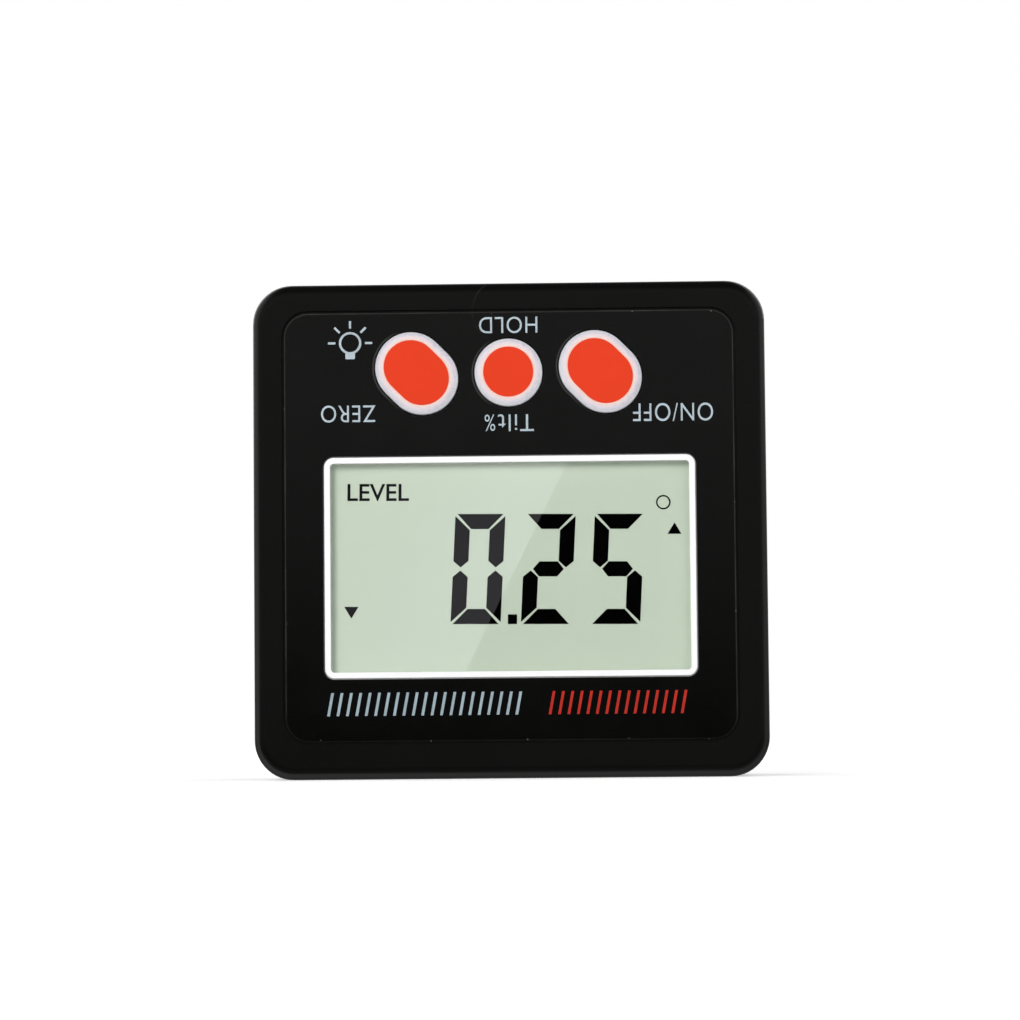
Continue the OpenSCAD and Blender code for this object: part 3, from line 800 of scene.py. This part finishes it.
class GAUGE_OT_make_legends(bpy.types.Operator):
    """Prints the key legends, the lamp sign and two plain rows of bars on the overlay"""

    bl_idname = "gauge.make_legends"
    bl_label = "Make Legends"

    def execute(self, context):
        finishes, sizes = context.scene.gauge_finishes, context.scene.gauge_sizes
        thick = sizes.print_thickness
        front = front_of("front_overlay") - thick * PRINT_PROUD
        marks = [
            lettering(
                words, words, Vector(centre) * MM, Vector(size) * MM, front, thick,
                LEGEND_WEIGHT, LEGEND_SPACING, inverted=True,
            )
            for words, centre, size in LEGENDS
        ]
        marks.append(flat_piece("lamp_sign", lamp_sign(LAMP_PLACE, LAMP_RADIUS), front, thick))
        # The foot stands proud of the ring that it covers
        proud = 0.3 * thick
        foot = lamp_foot(LAMP_PLACE, LAMP_RADIUS)
        marks.append(flat_piece("lamp_foot", foot, front - proud, thick + proud))
        ink = plain_ink("legend_ink", tuple(finishes.legend_grey))
        add_piece(join_pieces("key_legends", marks), ink)
        for name, reach, colour in (
            ("grey_bars", GREY_BARS, finishes.bar_grey),
            ("red_bars", RED_BARS, finishes.bar_red),
        ):
            bars = flat_piece(name, slanted_bars(*reach), front, thick)
            add_piece(bars, plain_ink(name + "_ink", tuple(colour)))
        return {"FINISHED"}


# Display


def segment_outline(letter, width, height, stroke, gap):
    """One segment of a digit whose lower left corner is at the origin."""
    half, mid = stroke / 2, height / 2
    slit = gap * 0.75
    inner = stroke + slit * 0.6
    if letter in "ad":
        bar = [(slit, 0), (width - slit, 0), (width - inner, stroke), (inner, stroke)]
        return bar if letter == "d" else [(x, height - z) for x, z in reversed(bar)]
    if letter == "g":
        left = stroke + slit * 0.4
        right = width - left
        return [
            (half + slit, mid), (left, mid - half), (right, mid - half),
            (width - half - slit, mid), (right, mid + half), (left, mid + half),
        ]
    post = [
        (0, slit), (stroke, inner), (stroke, mid - half - slit * 0.3),
        (half, mid - slit * 0.75), (0, mid - half * 0.9 - slit * 0.5),
    ]
    if letter in "bf":
        post = [(x, height - z) for x, z in reversed(post)]
    if letter in "bc":
        post = [(width - x, z) for x, z in reversed(post)]
    return post


def square_point(corner, size):
    x, z = corner
    return [(x, z), (x + size.x, z), (x + size.x, z + size.y), (x, z + size.y)]


def arrow_head(centre, width, height):
    """A triangle that points up, or down if its height is negative."""
    x, z = centre
    foot = z - height / 2
    points = [(x - width / 2, foot), (x + width / 2, foot), (x, z + height / 2)]
    return points if height > 0 else points[::-1]


class GAUGE_OT_make_reading(bpy.types.Operator):
    """Draws the reading on the display glass: digits, point, degree ring, arrows and mode word"""

    bl_idname = "gauge.make_reading"
    bl_label = "Make Reading"

    def execute(self, context):
        finishes, sizes = context.scene.gauge_finishes, context.scene.gauge_sizes
        thick = sizes.print_thickness
        front = front_of("lcd_panel") - thick
        centre = middle("display_bezel").xz
        digit_sizes = (sizes.digit_width, sizes.digit_height, sizes.stroke, sizes.segment_gap)
        outlines = []
        for digit, left in DIGITS:
            corner = centre + Vector((left, DIGITS_FOOT))
            for letter in SEGMENTS[digit]:
                outlines.append(straight([
                    corner + Vector((x + DIGIT_SLANT * z, z))
                    for x, z in segment_outline(letter, *digit_sizes)
                ]))
        point = centre + Vector((POINT_LEFT, DIGITS_FOOT))
        outlines.append(straight(square_point(point, POINT_SIZE)))
        outlines += [circle(radius, centre + RING_PLACE) for radius in RING_RADII]
        for place, width, height in ARROWS:
            tip = arrow_head(centre + Vector(place) * MM, width * MM, height * MM)
            outlines.append(straight(tip))
        word = lettering(
            "mode_word", "LEVEL", centre + WORD_PLACE, WORD_SIZE, front, thick, WORD_WEIGHT
        )
        marks = [flat_piece("reading_marks", outlines, front, thick), word]
        ink = plain_ink("reading_ink", tuple(finishes.reading_black), 0.6, 0.0)
        reading = add_piece(join_pieces("display_reading", marks), ink)
        pivot = Matrix.Translation((centre.x, 0, centre.y))
        turn = Matrix.Rotation(READING_TURN, 4, "Y")
        reading.data.transform(pivot @ turn @ pivot.inverted())
        return {"FINISHED"}


def border_plastic(white):
    """White border with a painted glow: a little emission stands in for the display's light."""
    material, tree, shader = new_material("border_white")
    grains = place_group(tree, "moulded_grain", Patch_Scale=300.0)
    plug(shader, Base_Color=mix_colours(tree, grains["Patches"], darker(white, 0.97), white))
    # Painted glow: faint white emission, though the border is no lamp
    plug(shader, Roughness=0.35, Emission_Color=(1, 1, 1), Emission_Strength=0.12)
    bump(tree, shader, grains["Height"], 0.05, FINE_DEPTH)
    return material


def display_glass(tint, sizes):
    """Grey-green glass with the border's shade at its edges and a faint mirror image."""
    material, tree, shader = new_material("display_glass")
    centre = middle("display_bezel").xz + SHADE_SHIFT
    grains = place_group(tree, "moulded_grain", Grain_Scale=7000.0, Patch_Scale=45.0)
    patches = remap(tree, grains["Patches"], NOISE, (0, 1))
    uneven = mix_colours(tree, patches, darker(tint, 0.97), tint)
    distance = place_group(
        tree, "outline_distance", Centre_X=centre.x, Centre_Z=centre.y, Radius=SHADE_CORNER,
        Half_Width=sizes.border_width / 2 - sizes.border,
        Half_Height=sizes.border_height / 2 - sizes.border,
    )["Distance"]
    shade = remap(tree, distance, SHADE_FADE, (0, 1))
    plug(shader, Base_Color=mix_colours(tree, shade, uneven, darker(tint, 0.5)))
    plug(shader, Roughness=0.55, Specular_IOR_Level=0.2)
    bump(tree, shader, grains["Height"], 0.05, FINE_DEPTH)
    show_surface(tree, mirrored(tree, shader, GLASS_MIRROR))
    return material


def mirrored(tree, shader, share):
    """Adds a sharp, faint mirror image to a shader, on the outside of its piece."""
    inside = add_node(tree, "ShaderNodeNewGeometry").outputs["Backfacing"]
    outside = calculate(tree, "SUBTRACT", 1.0, inside)
    mirror = add_node(tree, "ShaderNodeBsdfAnisotropic")
    plug(mirror, Color=calculate(tree, "MULTIPLY", outside, share), Roughness=0.0)
    return both_shaders(tree, shader, mirror)


def both_shaders(tree, first, second):
    """The sum of two shader nodes."""
    both = add_node(tree, "ShaderNodeAddShader")
    fill(both.inputs[0], first.outputs[0])
    fill(both.inputs[1], second.outputs[0])
    return both.outputs[0]


def clear_lens():
    """Clear polished lens that mirrors faintly and lets light through to the display behind it."""
    material, tree, shader = new_material("clear_lens")
    plug(shader, Base_Color=(0.985, 0.995, 0.99), Roughness=0.0, IOR=1.49)
    plug(shader, Specular_Tint=(0.2, 0.2, 0.2), Transmission_Weight=1)
    path = add_node(tree, "ShaderNodeLightPath").outputs
    # A mirrored ray on its way out isn't bent again
    leaving = calculate(tree, "SUBTRACT", path["Is Glossy Ray"], path["Is Transmission Ray"])
    passing = calculate(tree, "MAXIMUM", path["Is Shadow Ray"], path["Is Diffuse Ray"], leaving)
    mix = add_node(tree, "ShaderNodeMixShader")
    fill(mix.inputs[0], passing)
    fill(mix.inputs[1], mirrored(tree, shader, LENS_MIRROR))
    fill(mix.inputs[2], add_node(tree, "ShaderNodeBsdfTransparent").outputs[0])
    show_surface(tree, mix.outputs[0])
    return material


class GAUGE_OT_finish_display(bpy.types.Operator):
    """Gives the display's border, lens and glass their finishes"""

    bl_idname = "gauge.finish_display"
    bl_label = "Finish Display"

    def execute(self, context):
        finishes, sizes = context.scene.gauge_finishes, context.scene.gauge_sizes
        dress(nodes["display_bezel"], border_plastic(tuple(finishes.border_white)))
        dress(nodes["lcd_panel"], display_glass(tuple(finishes.display_tint), sizes))
        dress(nodes["display_lens"], clear_lens())
        return {"FINISHED"}


# Keys


def cap_plastic(red):
    material, tree, shader = new_material("cap_red")
    grains = place_group(tree, "moulded_grain", Patch_Scale=220.0)
    plug(shader, Base_Color=mix_colours(tree, grains["Patches"], darker(red, 0.95), red))
    plug(shader, Roughness=0.5, Specular_IOR_Level=0.3)
    bump(tree, shader, grains["Height"], 0.08, FINE_DEPTH)
    return material


def key_rim(key, white, blush):
    """Translucent silicone that shows the cap's red next to the cap, with painted glow, a painted
    edge highlight and painted shade in its gap.
    """
    material, tree, shader = new_material(key + "_key_silicone")
    centre, radius, _ = key_outline(key)
    place = axes(tree, coordinate(tree))
    distance = key_distance(tree, key)
    grains = place_group(tree, "moulded_grain", Grain_Scale=3200.0, Patch_Scale=2200.0)
    frost = remap(tree, grains["Height"], NOISE, (0, 1))
    frosted = mix_colours(tree, frost, darker(white, 0.93), white)
    from_cap = remap(tree, distance, CAP_BLUSH, (0, 1))
    # Grey mottling lies mostly on the right side
    mottling = calculate(
        tree, "MULTIPLY", from_cap,
        remap(tree, grains["Patches"], (0.45, 0.62), (0, 0.4)),
        remap(tree, place["X"], (centre.x, centre.x + radius * 0.7), (0.15, 1)),
    )
    # Painted glow by the cap; painted highlight and glow at the outer edge
    by_cap = remap(tree, distance, CAP_LIGHT, (1, 0))
    by_edge = remap(tree, distance, EDGE_HIGHLIGHT_SPAN, (0, 1))
    # Painted shade on the rim's wall below the overlay's front, inside the gap
    film = front_of("front_overlay")
    gap_shade = remap(tree, place["Y"], [film + fade for fade in GAP_SHADE_FADE], (0, 1))
    rim = mix_colours(tree, from_cap, blush, frosted)
    for mask, colour in (
        (mottling, MOTTLE_GREY), (by_cap, CAP_GLOW), (by_edge, EDGE_HIGHLIGHT_WHITE), (gap_shade, KEY_GAP_SHADE)
    ):
        rim = mix_colours(tree, mask, rim, colour)
    in_sight = calculate(tree, "SUBTRACT", 1.0, gap_shade)
    # Emission of the painted glow, though the silicone is no lamp
    cap_light = calculate(tree, "MULTIPLY", by_cap, CAP_GLOW_STRENGTH)
    edge_light = calculate(tree, "MULTIPLY", by_edge, in_sight, EDGE_GLOW_STRENGTH)
    plug(
        shader, Base_Color=rim, Emission_Color=mix_colours(tree, from_cap, CAP_GLOW, EDGE_GLOW),
        Emission_Strength=calculate(tree, "ADD", cap_light, edge_light),
        Roughness=0.32, Specular_IOR_Level=0.8, Coat_Weight=0.5, Coat_Roughness=0.15,
        Sheen_Weight=0.35, Sheen_Tint=(0.85, 0.88, 1.0),
        Subsurface_Weight=0.7, Subsurface_Radius=(1.0, 0.9, 0.9), Subsurface_Scale=0.5 * MM,
    )
    bump(tree, shader, grains["Height"], 0.06, FINE_DEPTH)
    return material


class GAUGE_OT_finish_keys(bpy.types.Operator):
    """Gives the keys translucent white rims, red caps and dark plungers"""

    bl_idname = "gauge.finish_keys"
    bl_label = "Finish Keys"

    def execute(self, context):
        finishes = context.scene.gauge_finishes
        white, blush = tuple(finishes.rim_white), tuple(finishes.rim_blush)
        cap = cap_plastic(tuple(finishes.cap_red))
        plunger = moulding("plunger_black", (0.02, 0.02, 0.02), 0.5, 0.1, 0.4)
        for key in KEYS:
            dress(nodes[key + "_cap"], cap)
            dress(nodes[key + "_plunger"], plunger)
            dress(nodes[key + "_key"], key_rim(key, white, blush))
        return {"FINISHED"}


# Inner parts


def cell_sleeve():
    """A dark sleeve with a wide grey band, and bare metal at both ends."""
    material, tree, shader = new_material("cell_sleeve")
    reach = calculate(tree, "ABSOLUTE", axes(tree, coordinate(tree))["X"])
    bare = calculate(tree, "GREATER_THAN", reach, SLEEVE_REACH)
    band = calculate(tree, "LESS_THAN", reach, BAND_REACH)
    grains = place_group(tree, "moulded_grain", Patch_Scale=250.0)
    sleeve = mix_colours(tree, band, (0.05, 0.055, 0.06), (0.34, 0.35, 0.37))
    plug(shader, Base_Color=mix_colours(tree, bare, sleeve, (0.6, 0.6, 0.6)), Metallic=bare)
    plug(shader, Roughness=remap(tree, grains["Patches"], NOISE, (0.26, 0.36)))
    bump(tree, shader, grains["Height"], 0.05, FINE_DEPTH)
    return material


class GAUGE_OT_finish_inner_parts(bpy.types.Operator):
    """Gives the board, contacts, cells, screws and magnets their finishes"""

    bl_idname = "gauge.finish_inner_parts"
    bl_label = "Finish Inner Parts"

    def execute(self, context):
        finishes = {
            metal("plated_steel", (0.58, 0.58, 0.59), 0.30): (
                "board_screws", "cover_screws", "negative_plate", "positive_plate", "bridge_plate",
                "negative_spring", "bridge_spring", "zero_switch", "hold_switch", "power_switch",
            ),
            metal("magnet_nickel", (0.54, 0.53, 0.50), 0.36): (
                "left_magnet", "middle_magnet", "right_magnet",
            ),
            cell_sleeve(): ("upper_cell", "lower_cell"),
            moulding("board_green", (0.012, 0.10, 0.04), 0.4, 0.1, 0.5): ("circuit_board",),
            moulding("chip_resin", (0.012, 0.012, 0.013), 0.5, 0.2, 0.4): (
                "controller_chip", "tilt_sensor",
            ),
            moulding("chip_ceramic", (0.42, 0.33, 0.2), 0.5, 0.1, 0.5): ("chip_parts",),
            moulding("strip_rubber", (0.55, 0.2, 0.24), 0.6, 0.2, 0.3): ("zebra_strip",),
            moulding("guide_clear", (0.8, 0.83, 0.78), 0.2, 0.02, 0.5): ("light_guide",),
            moulding("lamp_resin", (0.8, 0.7, 0.25), 0.3, 0.05, 0.5): ("backlight_led",),
        }
        for material, names in finishes.items():
            for name in names:
                dress(nodes[name], material)
        return {"FINISHED"}


# Stage


def make_floor():
    """A matt white floor that looks whiter to the camera, most so away from the gauge."""
    floor = make_sheet("floor", Matrix.Scale(FLOOR_REACH, 4))
    material, tree, shader = new_material("floor_white")
    plug(shader, Base_Color=(0.9, 0.9, 0.9), Roughness=1.0, Specular_IOR_Level=0.0)
    away = add_node(tree, "ShaderNodeVectorMath", operation="LENGTH")
    fill(away.inputs[0], coordinate(tree))
    white = remap(tree, away.outputs["Value"], FLOOR_FADE, FLOOR_WHITE)
    seen = add_node(tree, "ShaderNodeLightPath").outputs["Is Camera Ray"]
    plug(shader, Emission_Color=(1, 1, 1))
    plug(shader, Emission_Strength=calculate(tree, "MULTIPLY", seen, white))
    dress(floor, material)
    floor.visible_glossy = False


def make_world(scene):
    """White for the camera and through glass, soft grey light, and a dim room to reflect."""
    scene.world = bpy.data.worlds.new("studio")
    scene.world.use_nodes = True
    tree = scene.world.node_tree
    path = add_node(tree, "ShaderNodeLightPath").outputs
    direction = axes(tree, coordinate(tree, "Generated"))
    height = direction["Z"]
    ahead = calculate(tree, "MULTIPLY", direction["Y"], -1.0)
    # The room is dim in front, dark at the floor's edge and under the ceiling
    room = calculate(
        tree, "ADD",
        remap(tree, height, (-0.01, 0.10), (0.02, 0.24)),
        remap(tree, height, (-0.12, -0.4), (0.0, 0.07)),
    )
    room = calculate(tree, "MULTIPLY", room, remap(tree, height, (0.2, 0.95), (1.0, 0.05)))
    # The side walls are brighter, end in front at a line that leans, and fade upwards
    below = calculate(tree, "MINIMUM", height, 0.0)
    leaning = calculate(tree, "ADD", ahead, calculate(tree, "MULTIPLY", below, 0.25))
    walls = calculate(
        tree, "MULTIPLY",
        remap(tree, leaning, (0.28, 0.36), (0.65, 0.0)),
        remap(tree, ahead, (-0.8, 0.3), (0.08, 1.0)),
        remap(tree, direction["X"], (-0.6, 0.6), (1.0, 0.7)),
        remap(tree, height, (0.66, 0.86), (1.0, 0.05)),
    )
    behind = remap(tree, ahead, (-0.98, -0.65), (0.42, 0.0))
    shine = calculate(tree, "ADD", calculate(tree, "MAXIMUM", walls, behind), room)
    # The display's sharp mirror image shows the glare card alone
    rough = calculate(tree, "SUBTRACT", 1.0, path["Is Singular Ray"])
    shine = calculate(tree, "MULTIPLY", shine, rough, path["Is Glossy Ray"])
    matt = calculate(tree, "SUBTRACT", 1.0, path["Is Glossy Ray"])
    light = calculate(tree, "ADD", shine, calculate(tree, "MULTIPLY", matt, AMBIENT))
    strength = calculate(
        tree, "MAXIMUM", path["Is Camera Ray"], path["Is Transmission Ray"], light
    )
    plug(tree.nodes["Background"], Color=(1, 1, 1), Strength=strength)


def make_lamp(name, place, size, power):
    """A square lamp that isn't seen, and that only shines on gloss from behind the gauge."""
    data = bpy.data.lights.new(name, "AREA")
    data.shape = "SQUARE"
    data.size = size
    data.energy = power
    lamp = add_object(name, data)
    lamp.location = place
    lamp.rotation_euler = (place - LAMP_AIM).to_track_quat("Z", "Y").to_euler()
    lamp.visible_glossy = place.y > 0
    lamp.visible_camera = False


def make_glare_card():
    """A slanted card behind the camera that only the display mirrors, brightest at its right."""
    half = Matrix.Diagonal((CARD_SIZE[0] / 2, CARD_SIZE[1] / 2, 1, 1))
    card = make_sheet("glare_card", half @ Matrix.Translation((-1, 0, 0)))
    slant = Matrix.Rotation(CARD_SLANT, 4, "Y")
    card.matrix_world = Matrix.Translation(CARD_EDGE) @ slant @ UPRIGHT
    material, tree, shader = new_material("glare_card")
    tree.nodes.remove(shader)
    across = axes(tree, coordinate(tree))["X"]
    glow = remap(tree, across, (-CARD_SIZE[0] * CARD_FADE, 0), (0, CARD_GLOW))
    light = plug(add_node(tree, "ShaderNodeEmission"), Color=CARD_COLOUR, Strength=glow)
    clear = add_node(tree, "ShaderNodeBsdfTransparent")
    show_surface(tree, both_shaders(tree, light, clear))
    dress(card, material)
    mirrors = bpy.data.collections.new("card_mirrors")
    for name in ("display_lens", "lcd_panel"):
        mirrors.objects.link(nodes[name])
    card.light_linking.receiver_collection = mirrors
    card.visible_camera = card.visible_diffuse = card.visible_shadow = False


def make_camera(scene, stage):
    """Sets the camera where the photograph was taken from: low, a little right and rolled."""
    data = bpy.data.cameras.new("camera")
    data.sensor_width = 36
    data.lens = data.sensor_width * stage.camera_distance / stage.frame_width
    data.clip_start, data.clip_end = 0.01, 20
    camera = add_object("camera", data)
    away = front_of("housing") - stage.camera_distance
    camera.location = (stage.camera_side, away, stage.camera_height)
    level = math.cos(stage.pitch)
    ahead = Vector(
        (-math.sin(stage.yaw) * level, math.cos(stage.yaw) * level, math.sin(stage.pitch))
    )
    aim = ahead.to_track_quat("-Z", "Y").to_matrix().to_4x4()
    camera.rotation_euler = (aim @ Matrix.Rotation(-stage.roll, 4, "Z")).to_euler()
    scene.camera = camera


class GAUGE_OT_set_stage(bpy.types.Operator):
    """Sets the floor, the soft studio light, the white background and the camera"""

    bl_idname = "gauge.set_stage"
    bl_label = "Set Stage"

    def execute(self, context):
        scene = context.scene
        scene.view_settings.view_transform = "Standard"
        make_floor()
        make_world(scene)
        for name, place, size, power in LAMPS:
            make_lamp(name, Vector(place), size, power)
        make_glare_card()
        make_camera(scene, scene.gauge_stage)
        return {"FINISHED"}


class GAUGE_PT_panel(bpy.types.Panel):
    """Lists the settings and the steps that dress the gauge"""

    bl_idname = "GAUGE_PT_panel"
    bl_label = "Angle Gauge"
    bl_space_type = "VIEW_3D"
    bl_region_type = "UI"
    bl_category = "Angle Gauge"

    def draw(self, context):
        for group in ("gauge_finishes", "gauge_sizes", "gauge_stage"):
            box = self.layout.box()
            settings = getattr(context.scene, group)
            for name in settings.__annotations__:
                box.prop(settings, name)
        for step in STEPS:
            self.layout.operator(step.bl_idname)


STEPS = (
    GAUGE_OT_finish_mouldings,
    GAUGE_OT_make_overlay,
    GAUGE_OT_make_legends,
    GAUGE_OT_finish_display,
    GAUGE_OT_make_reading,
    GAUGE_OT_finish_keys,
    GAUGE_OT_finish_inner_parts,
    GAUGE_OT_set_stage,
)
CLASSES = (GaugeFinishes, GaugeSizes, GaugeStage, *STEPS, GAUGE_PT_panel)


def register():
    for cls in CLASSES:
        bpy.utils.register_class(cls)
    bpy.types.Scene.gauge_finishes = PointerProperty(type=GaugeFinishes)
    bpy.types.Scene.gauge_sizes = PointerProperty(type=GaugeSizes)
    bpy.types.Scene.gauge_stage = PointerProperty(type=GaugeStage)


def unregister():
    del bpy.types.Scene.gauge_stage
    del bpy.types.Scene.gauge_sizes
    del bpy.types.Scene.gauge_finishes
    for cls in reversed(CLASSES):
        bpy.utils.unregister_class(cls)


def main():
    register()
    for step in STEPS:
        area, name = step.bl_idname.split(".")
        getattr(getattr(bpy.ops, area), name)()


if __name__ == "__main__":
    main()
